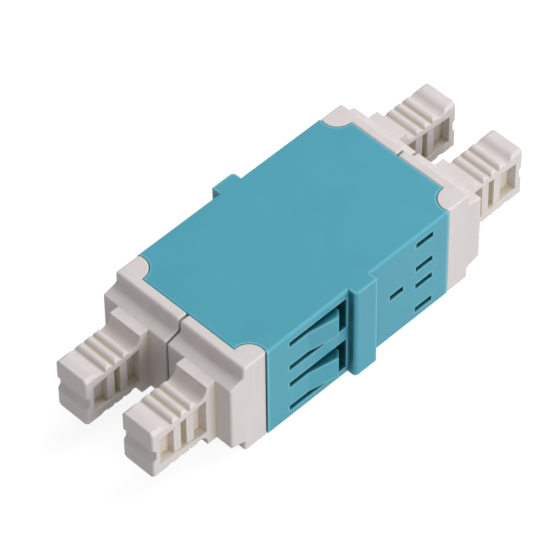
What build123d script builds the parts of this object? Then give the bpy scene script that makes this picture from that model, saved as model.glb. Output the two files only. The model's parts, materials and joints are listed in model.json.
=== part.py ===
from build123d import *
import os

# Quad LC fibre adapter: a moulded housing with four ports at each end, the sleeve holders and
# split sleeves that line the fibres up inside it, and four dust caps that each close two ports.
# Millimetres. X runs across the two columns of ports and Y along the optical axis, with the
# front towards -Y. Z is up, and the origin is the bottom centre.

# Ports
PORT_PITCH = 6.25          # from the lower row of ports to the upper
PORT_SIDE = 4.65           # the square that takes a plug
PORT_LEAD_IN = 0.3         # chamfer round a port's mouth
MID_WALL = 1.2             # wall across the middle, between the front and rear ports
LATCH_REACH = 2.35         # from the port out to the side wall, room for a plug's latch
LATCH_SLOT = 2.7           # height of the slot that a latch slides in through
SHOULDER_DEPTH = 4.2       # from the end face to the chamber that the latch snaps into

# Housing
HOUSING_LENGTH = 29.7
CENTRE_WALL = 1.7          # between the two columns of ports
SIDE_WALL = 1.32
ROOF = 0.9                 # over the upper ports and under the lower ones
LONG_EDGE_ROUND = 0.3
SEAM_ROUND = 0.15          # makes the dark line where a cap meets the housing

# Corner notches, one full-height round column cut from each corner
NOTCH_RADIUS = 1.9
NOTCH_INSET = 0.84         # axis of the notch in from the side face
NOTCH_DEPTH = 0.15         # axis of the notch in from the end face

# Panel ears and latch arms
EAR_REACH = 1.0
EAR_THICKNESS = 3.0
EAR_ROUND = 0.45           # on two of the four corners, opposite each other
ARM_HEIGHT = 2.87
ARM_SLIT = 0.75            # slit above and below an arm
ARM_ROOT_DEPTH = 4.95      # from the front face
ARM_STRAIGHT = 2.7         # from the root to the start of the ramp
ARM_RAMP = 3.5             # from the start of the ramp to its crest
ARM_RAMP_RISE = 0.76
ARM_BACK_SLOPE = 0.7       # from the crest back in at 45 degrees to the arm's end
WINDOW_END_WALL = 0.35     # from the end of an arm's window to the ear

# Slots in the sides of the rear half
REAR_SLOT_LENGTH = 2.45
WEB_SLOT_DEPTH = 8.46      # from the rear face to the slot between the rows
WEB_SLOT_LENGTH = 1.96
WEB_SLOT_HEIGHT = 0.76
WEB_SLOT_RECESS = 1.5

# Dust cap: flange and block
CAP_HALF_GAP = 0.12        # from the centre plane to the flange
CAP_INSET = 0.12           # a cap's side behind the housing's side
FLANGE_THICKNESS = 1.3
FLANGE_ROUND = 0.35
BLOCK_LENGTH = 1.8         # from the flange to the block's front
GROOVE_DEPTH = 1.45        # from the flange's top down to the block
BLOCK_SLOPE = 0.5          # the block's fall from the flange to its front
GROOVE_ROUND = 0.3
BLOCK_ROUND = 0.2
CAP_EDGE = 0.15            # chamfer along the flange's and block's sides and round the grip's end

# Dust cap: thumb grip, whose length is that of its stretches from the block to its end
GRIP_WIDTH = 4.3
GRIP_INSET = 2.19          # from the cap's outer side to the grip
GRIP_WAIST_HALF = 2.85     # half the grip's height between its ridges
NECK_LENGTH = 1.2
SCOOP_LENGTH = 1.25
RIDGES = 3
RIDGE_PITCH = 1.2
RIDGE_HEIGHT = 0.45
RIDGE_VALLEY = 0.25        # share of a ridge's flank that curves up from the valley
HEAD_SLOPE_LENGTH = 1.55
HEAD_BEND = 0.5            # share of the slope up to the head that curves up from the waist
HEAD_LENGTH = 1.0
HEAD_HALF = 3.4
GRIP_BEVEL = 0.35          # along the head's long corners, cutting the ridges' ends too

# Dust cap: pockets in the grip's sides, and the groove across its end
POCKET_SETBACK = 1.3       # from the block's front to a pocket
POCKET_END_WALL = 1.0      # from a pocket to the grip's end
POCKET_DEPTH = 1.05
POCKET_START_HALF = 2.4
POCKET_END_HALF = 1.85
RIBS = 2
FIRST_RIB = 1.5            # from the start of a pocket
RIB_PITCH = 1.75
RIB_WIDTH = 1.0
RIB_SETBACK = 0.25
END_GROOVE_DEPTH = 0.45
END_GROOVE_MOUTH = 1.9
END_GROOVE_FLOOR = 1.1

# Dust cap: column in the notch, and plugs in the ports
COLUMN_GAP = 0.1
PLUG_LENGTH = 5.0
PLUG_GAP = 0.075
PLUG_CHAMFER = 0.35
PLUG_BORE = 3.4
PLUG_BORE_DEPTH = 4.2
KEY_LENGTH = 3.5
KEY_GAP = 0.1

# Sleeve holders and split sleeves
SLEEVE_DIAMETER = 1.62
SLEEVE_WALL = 0.187
SLEEVE_LENGTH = 6.8
SLEEVE_SLIT = 0.2
SLEEVE_GAP = 0.05          # round a sleeve in its holder
SLEEVE_END_GAP = 0.1
HOLDER_WALL = 0.59
HOLDER_FLANGE = 0.8
HOLDER_LIP = 0.4
HOLDER_LIP_BORE = 1.4
HOLDER_CHAMFER = 0.2
SPIGOT_GAP = 0.025         # round a holder in the mid wall

BEYOND = 1.0               # how far a cut runs past a face that it opens

# Places that follow from the sizes above
HALF_LENGTH = HOUSING_LENGTH / 2
PORT_INNER_X = CENTRE_WALL / 2
PORT_OUTER_X = PORT_INNER_X + PORT_SIDE
PORT_X = PORT_INNER_X + PORT_SIDE / 2
SIDE_WALL_X = PORT_OUTER_X + LATCH_REACH
HALF_WIDTH = SIDE_WALL_X + SIDE_WALL
HEIGHT = PORT_PITCH + PORT_SIDE + 2 * ROOF
MID_HEIGHT = HEIGHT / 2
ROW_HEIGHTS = {"lower": MID_HEIGHT - PORT_PITCH / 2, "upper": MID_HEIGHT + PORT_PITCH / 2}
SIDES = {"left": -1, "right": 1}
WINDOW_HALF = ARM_HEIGHT / 2 + ARM_SLIT
WINDOW_END = -EAR_THICKNESS / 2 - WINDOW_END_WALL
NOTCH_X = HALF_WIDTH - NOTCH_INSET
NOTCH_Y = HALF_LENGTH - NOTCH_DEPTH
CAP_HALF_WIDTH = HALF_WIDTH - CAP_INSET
BLOCK_FRONT = FLANGE_THICKNESS + BLOCK_LENGTH
BLOCK_ROOT_HALF = MID_HEIGHT - GROOVE_DEPTH
BLOCK_FRONT_HALF = BLOCK_ROOT_HALF - BLOCK_SLOPE
SCOOP_START = BLOCK_FRONT + NECK_LENGTH
RIDGES_START = SCOOP_START + SCOOP_LENGTH
RIDGES_END = RIDGES_START + RIDGES * RIDGE_PITCH
HEAD_START = RIDGES_END + HEAD_SLOPE_LENGTH
GRIP_END = HEAD_START + HEAD_LENGTH
GRIP_OUTER_X = CAP_HALF_WIDTH - GRIP_INSET
GRIP_INNER_X = GRIP_OUTER_X - GRIP_WIDTH
SLEEVE_BORE = SLEEVE_DIAMETER + 2 * SLEEVE_GAP
SPIGOT_DIAMETER = SLEEVE_BORE + 2 * HOLDER_WALL
LIP_START = SLEEVE_LENGTH / 2 + SLEEVE_END_GAP


def block(x_limits, y_limits, z_limits):
    """A box between two limits along each axis."""
    limits = (x_limits, y_limits, z_limits)
    centre = [(low + high) / 2 for low, high in limits]
    return Pos(*centre) * Box(*[high - low for low, high in limits])


def rod(x, z, y_limits, diameter):
    """A round bar along Y."""
    low, high = y_limits
    return Pos(x, (low + high) / 2, z) * Rot(90, 0, 0) * Cylinder(diameter / 2, high - low)


def half_turn(axis, shape):
    """The shape turned by 180 degrees about an axis through the middle of the housing."""
    turns = {"X": Rot(180, 0, 0), "Y": Rot(0, 180, 0), "Z": Rot(0, 0, 180)}
    return Pos(0, 0, MID_HEIGHT) * turns[axis] * Pos(0, 0, -MID_HEIGHT) * shape


def side_profile(lines, x_limits):
    """A solid extruded across X from the upper half of its side view. The outline is given as
    (distance in front of the housing, height above its middle), from axis to axis."""
    half = make_face(Curve() + lines + Line(lines[-1] @ 1, lines[0] @ 0))
    low, high = x_limits
    plane = Plane(origin=(low, -HALF_LENGTH, MID_HEIGHT), x_dir=(0, -1, 0), z_dir=(-1, 0, 0))
    return extrude(plane * (half + mirror(half, Plane.XZ)), amount=high - low, dir=(1, 0, 0))


# Housing

def outer_form():
    """The rounded block with its four corner notches and two panel ears."""
    form = Pos(0, 0, MID_HEIGHT) * Box(2 * HALF_WIDTH, HOUSING_LENGTH, HEIGHT)
    form = fillet(form.edges().filter_by(Axis.Y), LONG_EDGE_ROUND)
    for x in (-NOTCH_X, NOTCH_X):
        for y in (-NOTCH_Y, NOTCH_Y):
            form -= Pos(x, y, MID_HEIGHT) * Cylinder(NOTCH_RADIUS, HEIGHT + 2 * BEYOND)
    form = fillet(form.edges().filter_by(Axis.X), SEAM_ROUND)
    ears = Rectangle(2 * (HALF_WIDTH + EAR_REACH), EAR_THICKNESS)
    soft_corners = ears.vertices().filter_by(lambda corner: corner.X * corner.Y < 0)
    return form + extrude(fillet(soft_corners, EAR_ROUND), amount=HEIGHT)


def port_cut():
    """A port of the right-hand column at the front, with its lead-in, latch slot and chamber."""
    half_side = PORT_SIDE / 2
    port = block((PORT_INNER_X, PORT_OUTER_X), (-HALF_LENGTH - BEYOND, -MID_WALL / 2),
                 (-half_side, half_side))
    mouth = Plane(origin=(PORT_X, -HALF_LENGTH, 0), x_dir=(1, 0, 0), z_dir=(0, 1, 0))
    mouth_side = PORT_SIDE + 2 * PORT_LEAD_IN
    lead_in = extrude(mouth * Rectangle(mouth_side, mouth_side), amount=PORT_LEAD_IN, taper=45)
    slot = block((PORT_OUTER_X, SIDE_WALL_X), (-HALF_LENGTH - BEYOND, SHOULDER_DEPTH - HALF_LENGTH),
                 (-LATCH_SLOT / 2, LATCH_SLOT / 2))
    chamber = block((PORT_OUTER_X, SIDE_WALL_X),
                    (SHOULDER_DEPTH - HALF_LENGTH, WINDOW_END), (-half_side, half_side))
    return port + lead_in + slot + chamber


def arm_window():
    """The opening in the right-hand side wall round one panel latch arm."""
    return block((SIDE_WALL_X, HALF_WIDTH + BEYOND),
                 (ARM_ROOT_DEPTH - HALF_LENGTH, WINDOW_END), (-WINDOW_HALF, WINDOW_HALF))


def latch_arm():
    """A panel latch arm, straight from its root, then ramping out to a crest and back in again."""
    root = ARM_ROOT_DEPTH - HALF_LENGTH
    ramp = root + ARM_STRAIGHT
    crest = ramp + ARM_RAMP
    crest_x = HALF_WIDTH + ARM_RAMP_RISE
    end = crest + ARM_BACK_SLOPE
    outline = Polyline((SIDE_WALL_X, root), (HALF_WIDTH, root), (HALF_WIDTH, ramp), (crest_x, crest),
                       (crest_x - ARM_BACK_SLOPE, end), (SIDE_WALL_X, end), close=True)
    return Pos(0, 0, -ARM_HEIGHT / 2) * extrude(make_face(outline), amount=ARM_HEIGHT)


def rear_slots():
    """The two slots in the right-hand side wall beside a rear port."""
    start = HALF_LENGTH - SHOULDER_DEPTH
    y_limits = (start - REAR_SLOT_LENGTH, start)
    upper = block((SIDE_WALL_X, HALF_WIDTH + BEYOND), y_limits, (ARM_HEIGHT / 2, WINDOW_HALF))
    return upper + mirror(upper, Plane.XY)


def web_slot():
    """The blind slot in the right-hand side, between the two rows of rear ports."""
    start = HALF_LENGTH - WEB_SLOT_DEPTH
    return block((HALF_WIDTH - WEB_SLOT_RECESS, HALF_WIDTH + BEYOND),
                 (start - WEB_SLOT_LENGTH, start),
                 (MID_HEIGHT - WEB_SLOT_HEIGHT / 2, MID_HEIGHT + WEB_SLOT_HEIGHT / 2))


def make_housing():
    housing = outer_form()
    mid_bore = rod(PORT_X, 0, (-MID_WALL, MID_WALL), SPIGOT_DIAMETER + 2 * SPIGOT_GAP)
    right_cuts = [web_slot()]
    right_arms = []
    for height in ROW_HEIGHTS.values():
        row = Pos(0, 0, height)
        front_port = port_cut()
        rear_port = mirror(front_port, Plane.XZ)
        cuts = (front_port, rear_port, mid_bore, arm_window(), rear_slots())
        right_cuts += [row * cut for cut in cuts]
        right_arms.append(row * latch_arm())
    for cut in right_cuts:
        housing -= cut
        housing -= mirror(cut, Plane.YZ)
    for arm in right_arms:
        housing += arm
        housing += mirror(arm, Plane.YZ)
    return housing


# Sleeve holders and sleeves

def make_holder():
    """The front half of a sleeve holder, on an axis along Y through the origin."""
    tube_end = LIP_START + HOLDER_LIP
    outer = SPIGOT_DIAMETER / 2
    section = Polyline((SLEEVE_BORE / 2, 0), (outer, 0), (outer, HOLDER_CHAMFER - tube_end),
                       (outer - HOLDER_CHAMFER, -tube_end), (HOLDER_LIP_BORE / 2, -tube_end),
                       (HOLDER_LIP_BORE / 2, -LIP_START), (SLEEVE_BORE / 2, -LIP_START), close=True)
    tube = revolve(make_face(section), Axis.Y)
    half_side = PORT_SIDE / 2 - PLUG_GAP
    flange = block((-half_side, half_side), (-MID_WALL / 2 - HOLDER_FLANGE, -MID_WALL / 2),
                   (-half_side, half_side))
    flange -= rod(0, 0, (-MID_WALL - HOLDER_FLANGE, 0), SPIGOT_DIAMETER)
    return tube + flange


def make_sleeve():
    """A split sleeve on an axis along Y through the origin, with its slit on top."""
    ends = (-SLEEVE_LENGTH / 2, SLEEVE_LENGTH / 2)
    sleeve = rod(0, 0, ends, SLEEVE_DIAMETER) - rod(0, 0, ends, SLEEVE_DIAMETER - 2 * SLEEVE_WALL)
    return sleeve - block((-SLEEVE_SLIT / 2, SLEEVE_SLIT / 2), ends, (0, SLEEVE_DIAMETER))


# Dust cap

def corner_column():
    """The column that fills the housing's corner notch, cut flush with the cap's side."""
    column = Pos(NOTCH_X, -NOTCH_Y, MID_HEIGHT) * Cylinder(NOTCH_RADIUS - COLUMN_GAP, HEIGHT)
    return column & block((0, CAP_HALF_WIDTH), (-HALF_LENGTH, 0), (0, HEIGHT))


def cap_body():
    """The flange that closes the housing's end, its corner column and the grooved block."""
    points = ((0, 0), (0, MID_HEIGHT), (FLANGE_THICKNESS, MID_HEIGHT),
              (FLANGE_THICKNESS, BLOCK_ROOT_HALF), (BLOCK_FRONT, BLOCK_FRONT_HALF), (BLOCK_FRONT, 0))
    rounds = (0, FLANGE_ROUND, GROOVE_ROUND, BLOCK_ROUND)
    body = side_profile([FilletPolyline(*points, radius=rounds)], (CAP_HALF_GAP, CAP_HALF_WIDTH))
    body += corner_column()
    sides = body.faces().filter_by(Axis.X).edges()
    seams = body.edges().filter_by(Axis.X).filter_by_position(Axis.Y, -HALF_LENGTH, 0)
    return chamfer(sides + seams, CAP_EDGE)


def half_wave(valley, crest, valley_share):
    """Two tangent arcs between a level valley and a level crest, either way along the grip."""
    valley = Vector(*valley)
    crest = Vector(*crest)
    bend = valley + (crest - valley) * valley_share
    towards = 1 if crest.X > valley.X else -1
    return [TangentArc(valley, bend, tangent=(towards, 0)),
            TangentArc(crest, bend, tangent=(-towards, 0))]


def grip():
    """The thumb grip: a scoop behind the block, then the ridged waist and the wider head."""
    top = (SCOOP_START, BLOCK_FRONT_HALF)
    foot = (RIDGES_START, GRIP_WAIST_HALF)
    lines = [Line((FLANGE_THICKNESS, 0), (FLANGE_THICKNESS, BLOCK_FRONT_HALF)),
             Line((FLANGE_THICKNESS, BLOCK_FRONT_HALF), top), TangentArc(foot, top, tangent=(-1, 0))]
    for ridge in range(RIDGES):
        start = RIDGES_START + ridge * RIDGE_PITCH
        crest = (start + RIDGE_PITCH / 2, GRIP_WAIST_HALF + RIDGE_HEIGHT)
        lines += half_wave((start, GRIP_WAIST_HALF), crest, RIDGE_VALLEY)
        lines += half_wave((start + RIDGE_PITCH, GRIP_WAIST_HALF), crest, RIDGE_VALLEY)
    lines += half_wave((RIDGES_END, GRIP_WAIST_HALF), (HEAD_START, HEAD_HALF), HEAD_BEND)
    lines += [Line((HEAD_START, HEAD_HALF), (GRIP_END, HEAD_HALF)),
              Line((GRIP_END, HEAD_HALF), (GRIP_END, 0))]
    body = side_profile(lines, (GRIP_INNER_X, GRIP_OUTER_X))
    diamond = Plane.XZ * RegularPolygon(GRIP_BEVEL, 4)
    bevel = extrude(diamond, amount=GRIP_END - RIDGES_START)
    for x in (GRIP_INNER_X, GRIP_OUTER_X):
        for z in (MID_HEIGHT - HEAD_HALF, MID_HEIGHT + HEAD_HALF):
            body -= Pos(x, -HALF_LENGTH - RIDGES_START, z) * bevel
    return chamfer(body.faces().sort_by(Axis.Y)[0].edges(), CAP_EDGE)


def grip_pocket():
    """The tapered pocket in the grip's outer side, less the two ribs that stand in it."""
    start = BLOCK_FRONT + POCKET_SETBACK
    end = GRIP_END - POCKET_END_WALL
    outline = Polyline((start, 0), (start, POCKET_START_HALF), (end, POCKET_END_HALF), (end, 0))
    pocket = side_profile([outline], (GRIP_OUTER_X - POCKET_DEPTH, GRIP_OUTER_X))
    for rib in range(RIBS):
        back = -HALF_LENGTH - start - FIRST_RIB - rib * RIB_PITCH
        pocket -= block((GRIP_OUTER_X - POCKET_DEPTH, GRIP_OUTER_X - RIB_SETBACK),
                        (back - RIB_WIDTH, back), (0, HEIGHT))
    return pocket


def end_groove():
    """The groove across the grip's end."""
    floor = GRIP_END - END_GROOVE_DEPTH
    outline = Polyline((floor, 0), (floor, END_GROOVE_FLOOR / 2),
                       (GRIP_END, END_GROOVE_MOUTH / 2), (GRIP_END, 0))
    return side_profile([outline], (GRIP_INNER_X, GRIP_OUTER_X))


def plug(height):
    """The hollow plug that closes one port, with the key that slides in its latch slot."""
    half_side = PORT_SIDE / 2 - PLUG_GAP
    end = PLUG_LENGTH - HALF_LENGTH
    half_key = LATCH_SLOT / 2 - KEY_GAP
    body = block((PORT_X - half_side, PORT_X + half_side), (-HALF_LENGTH, end),
                 (height - half_side, height + half_side))
    body = chamfer(body.faces().sort_by(Axis.Y)[-1].edges(), PLUG_CHAMFER)
    body += block((PORT_X, SIDE_WALL_X - KEY_GAP), (-HALF_LENGTH, KEY_LENGTH - HALF_LENGTH),
                  (height - half_key, height + half_key))
    return body - rod(PORT_X, height, (end - PLUG_BORE_DEPTH, end), PLUG_BORE)


def make_cap():
    """The dust cap of the right-hand column at the front."""
    cap = cap_body() + grip()
    for height in ROW_HEIGHTS.values():
        cap += plug(height)
    pocket = grip_pocket()
    grip_middle = Plane.YZ.offset((GRIP_INNER_X + GRIP_OUTER_X) / 2)
    return cap - pocket - mirror(pocket, grip_middle) - end_groove()


def export_all():
    os.makedirs("parts", exist_ok=True)
    export_step(make_housing(), "parts/housing.step")
    holder = make_holder()
    sleeve = make_sleeve()
    for row_name, height in ROW_HEIGHTS.items():
        for side_name, side in SIDES.items():
            place = Pos(side * PORT_X, 0, height)
            name = f"{row_name}_{side_name}"
            export_step(place * holder, f"parts/holder_front_{name}.step")
            export_step(place * Rot(0, 0, 180) * holder, f"parts/holder_rear_{name}.step")
            export_step(place * sleeve, f"parts/sleeve_{name}.step")
    cap = make_cap()
    export_step(cap, "parts/dust_cap_front_right.step")
    export_step(half_turn("Y", cap), "parts/dust_cap_front_left.step")
    export_step(half_turn("X", cap), "parts/dust_cap_rear_right.step")
    export_step(half_turn("Z", cap), "parts/dust_cap_rear_left.step")


export_all()
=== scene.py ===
"""Dresses the fibre adapter and its dust caps, and sets the floor, the lights and the camera."""
import json
import math

import bpy
from mathutils import Matrix, Vector

MM = 0.001

# Camera, found by fitting corner points of the housing and caps to the photograph
CAMERA_ELEVATION = 49.18      # degrees down
CAMERA_AZIMUTH = 45.42        # degrees round from looking along +Y, towards -X
CAMERA_ROLL = -0.684          # degrees
CAMERA_DISTANCE = 415.17 * MM
CAMERA_TARGET = Vector((4.06, -6.745, 15.115)) * MM
CAMERA_NEAR = 0.05
CAMERA_FAR = 20
IMAGE_SIDE = 550
FOCAL_PIXELS = 4209
SENSOR_MM = 36.0

# Soft lights, each with the direction that it comes from and its power in watts, and the world's
# even light
OBJECT_MIDDLE = Vector((0, 0, 6)) * MM
SOFTBOX_DISTANCE = 0.6
SOFTBOX_SIDE = 0.45
SOFTBOXES = {"top softbox": ((0.1, 0.7, 1.0), 2.3), "side softbox": ((1.0, 0.05, 0.32), 1.95)}
WORLD_LIGHT = 0.315

# Floor: the grey that lights the object, and how it shows, as a glow that no shadow can take away
# and the rest, which a shadow can
FLOOR_HALF = 1.2
FLOOR_GREY = (0.55, 0.55, 0.55, 1)
FLOOR_GLOW = 0.86
FLOOR_SHADE = (0.26, 0.26, 0.26, 1)
WHITE = (1, 1, 1, 1)

# Skin of the mouldings: the sizes of its marks, and the shares at which its masks for painted edge
# highlights and painted hollow shade start and are full
MASK_SAMPLES = 8
MARK_DETAIL = 2.0
FLOW_SCALE = 140.0
FLOW_TWIST = 0.6
FLOW_RANGE = (0.3, 0.7)           # of the noise, from the darkest marks to the palest
GRAIN_SCALE = 5200.0
GRAIN_HEIGHT = 0.02 * MM
EDGE_MASK = (0.97, 0.6)           # of rays into the solid that meet no other face
HOLLOW_MASK = (0.85, 0.4)         # of rays away from the solid that meet no other face
EDGE_LEFT_IN_HOLLOWS = 0.45       # of the painted edge highlight

# Finishes by material slot: the material's name, its index of refraction and its skin's settings.
# Colours are linear, and Flow Draw scales the pattern of the flow marks along X, Y and Z.
# Each finish's edge colour is a painted highlight along outer edges, and its hollow colour is painted
# shade in hollows, warm in the caps for light bounced in the pale plastic.
TEAL = (0.054, 0.35, 0.456, 1)
EVENLY = (1.0, 1.0, 1.0)
FINISHES = {
    "housing_plastic": ("teal moulding", 1.46, {
        "Colour": TEAL, "Edge Highlight Colour": (0.2, 0.6, 0.72, 1), "Hollow Shade Colour": (0.0, 0.1, 0.14, 1),
        "Edge Highlight Strength": 0.6, "Edge Radius": 0.15 * MM, "Edge Reach": 0.35 * MM,
        "Hollow Reach": 5.0 * MM, "Flow": 0.03, "Flow Draw": EVENLY, "Roughness": 0.42, "Grain": 0.12}),
    "holder_plastic": ("teal inner moulding", 1.46, {
        "Colour": TEAL, "Edge Highlight Colour": (0.25, 0.62, 0.72, 1), "Hollow Shade Colour": (0.002, 0.07, 0.1, 1),
        "Edge Highlight Strength": 0.2, "Edge Radius": 0.06 * MM, "Edge Reach": 0.4 * MM,
        "Hollow Reach": 1.0 * MM, "Flow": 0.03, "Flow Draw": EVENLY, "Roughness": 0.45, "Grain": 0.1}),
    "cap_plastic": ("grey cap moulding", 1.45, {
        "Colour": (0.72, 0.668, 0.655, 1), "Edge Highlight Colour": (0.8, 0.76, 0.74, 1),
        "Hollow Shade Colour": (0.72, 0.65, 0.53, 1), "Edge Highlight Strength": 0.2, "Edge Radius": 0.2 * MM,
        "Edge Reach": 0.4 * MM, "Hollow Reach": 1.5 * MM, "Flow": 0.035,
        "Flow Draw": (4.0, 4.0, 0.5), "Roughness": 0.5, "Grain": 0.1}),
    "zirconia": ("zirconia", 2.1, {
        "Colour": (0.83, 0.83, 0.80, 1), "Edge Highlight Colour": (0.9, 0.9, 0.88, 1),
        "Hollow Shade Colour": (0.5, 0.5, 0.46, 1), "Edge Highlight Strength": 0.1, "Edge Radius": 0.03 * MM,
        "Edge Reach": 0.4 * MM, "Hollow Reach": 0.5 * MM, "Flow": 0.01, "Flow Draw": EVENLY,
        "Roughness": 0.16, "Grain": 0.02}),
}

# Sockets of the node group that gives the moulding its skin and painted light
SKIN_INPUTS = {
    "NodeSocketColor": ("Colour", "Edge Highlight Colour", "Hollow Shade Colour"),
    "NodeSocketFloat": ("Edge Highlight Strength", "Edge Radius", "Edge Reach", "Hollow Reach", "Flow",
                        "Roughness", "Grain"),
    "NodeSocketVector": ("Flow Draw",)}
SKIN_OUTPUTS = {
    "NodeSocketColor": ("Colour",),
    "NodeSocketFloat": ("Roughness",),
    "NodeSocketVector": ("Normal",)}


class Tree:
    """Adds and links the nodes of one shader tree, from left to right."""

    def __init__(self, tree):
        self.tree = tree
        self.count = 0

    def add(self, kind, inputs=(), **settings):
        node = self.tree.nodes.new(kind)
        node.location = (220 * self.count - 1200, 0)
        self.count += 1
        for name, value in settings.items():
            setattr(node, name, value)
        for name, value in dict(inputs).items():
            if isinstance(value, bpy.types.NodeSocket):
                self.tree.links.new(value, node.inputs[name])
            else:
                node.inputs[name].default_value = value
        return node

    def combine(self, operation, first, second):
        """Joins two numbers by an operation of arithmetic."""
        node = self.add("ShaderNodeMath", {0: first, 1: second}, operation=operation)
        return node.outputs["Value"]

    def ramp(self, value, from_range, to_range=(0.0, 1.0), **settings):
        """Spreads a value from one range to another, clamped at both ends."""
        node = self.add("ShaderNodeMapRange", {
            "Value": value, "From Min": from_range[0], "From Max": from_range[1],
            "To Min": to_range[0], "To Max": to_range[1]}, **settings)
        return node.outputs["Result"]

    def mix(self, share, first, second):
        """Mixes two colours, by the share of the second."""
        node = self.add("ShaderNodeMix", {"Factor": share, "A": first, "B": second}, data_type="RGBA")
        return node.outputs["Result"]


def flow_marks(tree, given, place):
    """Faint marks of the plastic's flow, as a signed change of tone and roughness."""
    drawn = tree.add("ShaderNodeVectorMath", {0: place, 1: given["Flow Draw"]}, operation="MULTIPLY")
    noise = tree.add("ShaderNodeTexNoise", {
        "Vector": drawn.outputs["Vector"], "Scale": FLOW_SCALE, "Detail": MARK_DETAIL,
        "Distortion": FLOW_TWIST})
    drift = tree.ramp(noise.outputs["Fac"], FLOW_RANGE, (-1.0, 1.0))
    return tree.combine("MULTIPLY", drift, given["Flow"])


def painted_highlight_share(tree, given):
    """How much a point lies on an outer edge, where a highlight is painted."""
    solid = tree.add("ShaderNodeAmbientOcclusion", {"Distance": given["Edge Reach"]},
                     samples=MASK_SAMPLES, only_local=True, inside=True)
    return tree.ramp(solid.outputs["AO"], EDGE_MASK)


def hollow_depth(tree, given):
    """How deep a point lies in a hollow, where shade is painted."""
    space = tree.add("ShaderNodeAmbientOcclusion", {"Distance": given["Hollow Reach"]},
                     samples=MASK_SAMPLES, only_local=True)
    return tree.ramp(space.outputs["AO"], HOLLOW_MASK, interpolation_type="SMOOTHSTEP")


def skin_colour(tree, given, flow):
    """The part's colour with its flow marks, with shade painted in the hollows and highlights painted
    along the edges.
    """
    depth = hollow_depth(tree, given)
    level = tree.combine("ADD", flow, 1.0)
    tinted = tree.add("ShaderNodeVectorMath", {0: given["Colour"], "Scale": level}, operation="SCALE")
    # Painted shade: deep in a hollow the colour goes to the hollow colour, a warm pale tint in the caps
    # for bounced light.
    shaded = tree.mix(depth, tinted.outputs["Vector"], given["Hollow Shade Colour"])
    # Painted highlight: outer edges go pale towards the edge colour, less so deep in the hollows.
    kept = tree.ramp(depth, (0.0, 1.0), (1.0, EDGE_LEFT_IN_HOLLOWS))
    strength = tree.combine("MULTIPLY", kept, given["Edge Highlight Strength"])
    share = tree.combine("MULTIPLY", painted_highlight_share(tree, given), strength)
    return tree.mix(share, shaded, given["Edge Highlight Colour"])


def skin_normal(tree, given, place):
    """Softened edges under the fine grain that the mould leaves."""
    soft = tree.add("ShaderNodeBevel", {"Radius": given["Edge Radius"]}, samples=MASK_SAMPLES)
    grain = tree.add("ShaderNodeTexNoise", {"Vector": place, "Scale": GRAIN_SCALE, "Detail": MARK_DETAIL})
    bump = tree.add("ShaderNodeBump", {
        "Strength": given["Grain"], "Distance": GRAIN_HEIGHT, "Height": grain.outputs["Fac"],
        "Normal": soft.outputs["Normal"]})
    return bump.outputs["Normal"]


def skin_and_painted_light_group():
    """The skin of a moulded part, shared by all the finishes, with painted shade in its hollows and
    painted highlights on its edges.
    """
    group = bpy.data.node_groups.new("moulded skin and painted light", "ShaderNodeTree")
    for way, sockets in (("INPUT", SKIN_INPUTS), ("OUTPUT", SKIN_OUTPUTS)):
        for kind, names in sockets.items():
            for name in names:
                group.interface.new_socket(name, in_out=way, socket_type=kind)
    tree = Tree(group)
    given = tree.add("NodeGroupInput").outputs
    place = tree.add("ShaderNodeTexCoord").outputs["Object"]
    flow = flow_marks(tree, given, place)
    tree.add("NodeGroupOutput", {
        "Colour": skin_colour(tree, given, flow),
        "Roughness": tree.combine("ADD", flow, given["Roughness"]),
        "Normal": skin_normal(tree, given, place)})
    return group


def new_material(name):
    """An empty material, and its tree to build on."""
    material = bpy.data.materials.new(name)
    material.use_nodes = True
    material.node_tree.nodes.clear()
    return material, Tree(material.node_tree)


def make_materials():
    """One material for each slot, with the moulded skin at that slot's settings."""
    group = skin_and_painted_light_group()
    materials = {}
    for slot, (name, refraction, settings) in FINISHES.items():
        material, tree = new_material(name)
        skin = tree.add("ShaderNodeGroup", node_tree=group)
        for socket_name, value in settings.items():
            skin.inputs[socket_name].default_value = value
        shader = tree.add("ShaderNodeBsdfPrincipled", {
            "Base Color": skin.outputs["Colour"], "Roughness": skin.outputs["Roughness"],
            "Normal": skin.outputs["Normal"], "IOR": refraction})
        tree.add("ShaderNodeOutputMaterial", {"Surface": shader.outputs["BSDF"]})
        materials[slot] = material
    return materials


def dress_nodes(frame, materials):
    """Gives each node of the frame the finish of its slot."""
    slots = {part["node"]: part["material_slot"] for part in frame["record"]["subparts"]}
    for name, node in frame["nodes"].items():
        node.data.materials.clear()
        node.data.materials.append(materials[slots[name]])


def seen_directly(tree):
    """One where a surface shows as background: to the camera, and in gloss or glass."""
    path = tree.add("ShaderNodeLightPath").outputs
    shiny = tree.combine("MAXIMUM", path["Is Glossy Ray"], path["Is Transmission Ray"])
    return tree.combine("MAXIMUM", path["Is Camera Ray"], shiny)


def floor_material():
    """A pale floor that lights the object as plain grey and shows as white with faint shadows."""
    material, tree = new_material("pale floor")
    glow = tree.add("ShaderNodeEmission", {"Color": WHITE, "Strength": FLOOR_GLOW})
    shade = tree.add("ShaderNodeBsdfDiffuse", {"Color": FLOOR_SHADE})
    shown = tree.add("ShaderNodeAddShader", {0: glow.outputs["Emission"], 1: shade.outputs["BSDF"]})
    lit = tree.add("ShaderNodeBsdfDiffuse", {"Color": FLOOR_GREY})
    mix = tree.add("ShaderNodeMixShader", {
        "Fac": seen_directly(tree), 1: lit.outputs["BSDF"], 2: shown.outputs["Shader"]})
    tree.add("ShaderNodeOutputMaterial", {"Surface": mix.outputs["Shader"]})
    return material


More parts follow.
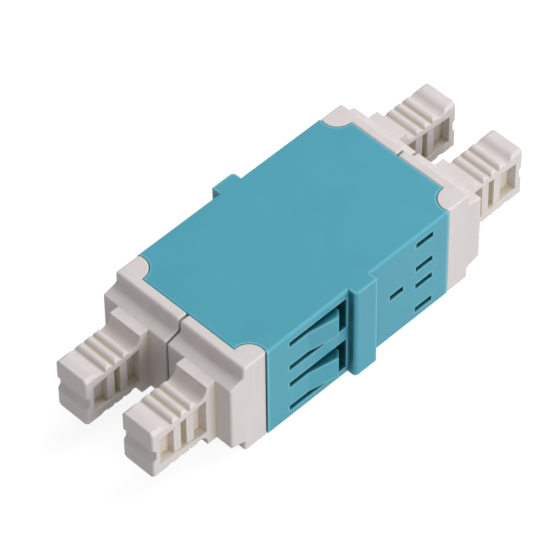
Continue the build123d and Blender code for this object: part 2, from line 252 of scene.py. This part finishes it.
def add_floor():
    """A square floor under the object, wide enough to reach past the picture."""
    low, high = -FLOOR_HALF, FLOOR_HALF
    mesh = bpy.data.meshes.new("floor")
    mesh.from_pydata([(low, low, 0), (high, low, 0), (high, high, 0), (low, high, 0)], [], [(0, 1, 2, 3)])
    mesh.materials.append(floor_material())
    floor = bpy.data.objects.new("floor", mesh)
    bpy.context.scene.collection.objects.link(floor)


def add_softboxes():
    """Square soft lights that face the middle of the object."""
    for name, (direction, power) in SOFTBOXES.items():
        towards = Vector(direction).normalized()
        data = bpy.data.lights.new(name, "AREA")
        data.shape = "SQUARE"
        data.size = SOFTBOX_SIDE
        data.energy = power
        lamp = bpy.data.objects.new(name, data)
        lamp.location = OBJECT_MIDDLE + towards * SOFTBOX_DISTANCE
        lamp.rotation_euler = towards.to_track_quat("Z", "Y").to_euler()
        bpy.context.scene.collection.objects.link(lamp)


def set_world():
    """An even light that shows as a white background."""
    world = bpy.data.worlds.new("studio")
    bpy.context.scene.world = world
    world.use_nodes = True
    world.node_tree.nodes.clear()
    tree = Tree(world.node_tree)
    strength = tree.ramp(seen_directly(tree), (0.0, 1.0), (WORLD_LIGHT, 1.0))
    sky = tree.add("ShaderNodeBackground", {"Color": WHITE, "Strength": strength})
    tree.add("ShaderNodeOutputWorld", {"Surface": sky.outputs["Background"]})


def add_camera():
    """The photograph's view, from the fitted angles, distance and focal length."""
    elevation = math.radians(CAMERA_ELEVATION)
    azimuth = math.radians(CAMERA_AZIMUTH)
    forward = Vector((-math.sin(azimuth) * math.cos(elevation), math.cos(azimuth) * math.cos(elevation),
                      -math.sin(elevation)))
    level = Vector((math.cos(azimuth), math.sin(azimuth), 0))
    roll = math.radians(CAMERA_ROLL)
    right = level * math.cos(roll) + level.cross(forward) * math.sin(roll)
    up = right.cross(forward)
    data = bpy.data.cameras.new("camera")
    data.sensor_width = SENSOR_MM
    data.lens = SENSOR_MM * FOCAL_PIXELS / IMAGE_SIDE
    data.clip_start = CAMERA_NEAR
    data.clip_end = CAMERA_FAR
    camera = bpy.data.objects.new("camera", data)
    turn = Matrix((right, up, -forward)).transposed()
    camera.matrix_world = Matrix.Translation(CAMERA_TARGET - forward * CAMERA_DISTANCE) @ turn.to_4x4()
    bpy.context.scene.collection.objects.link(camera)
    bpy.context.scene.camera = camera


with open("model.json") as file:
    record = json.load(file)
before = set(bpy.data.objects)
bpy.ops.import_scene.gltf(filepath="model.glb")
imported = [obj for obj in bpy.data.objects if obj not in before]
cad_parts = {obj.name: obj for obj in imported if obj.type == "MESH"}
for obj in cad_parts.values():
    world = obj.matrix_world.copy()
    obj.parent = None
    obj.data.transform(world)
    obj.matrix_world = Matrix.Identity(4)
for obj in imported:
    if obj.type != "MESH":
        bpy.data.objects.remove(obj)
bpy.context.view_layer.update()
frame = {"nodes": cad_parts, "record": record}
bpy.context.scene.view_settings.view_transform = "Standard"
dress_nodes(frame, make_materials())
add_floor()
add_softboxes()
set_world()
add_camera()
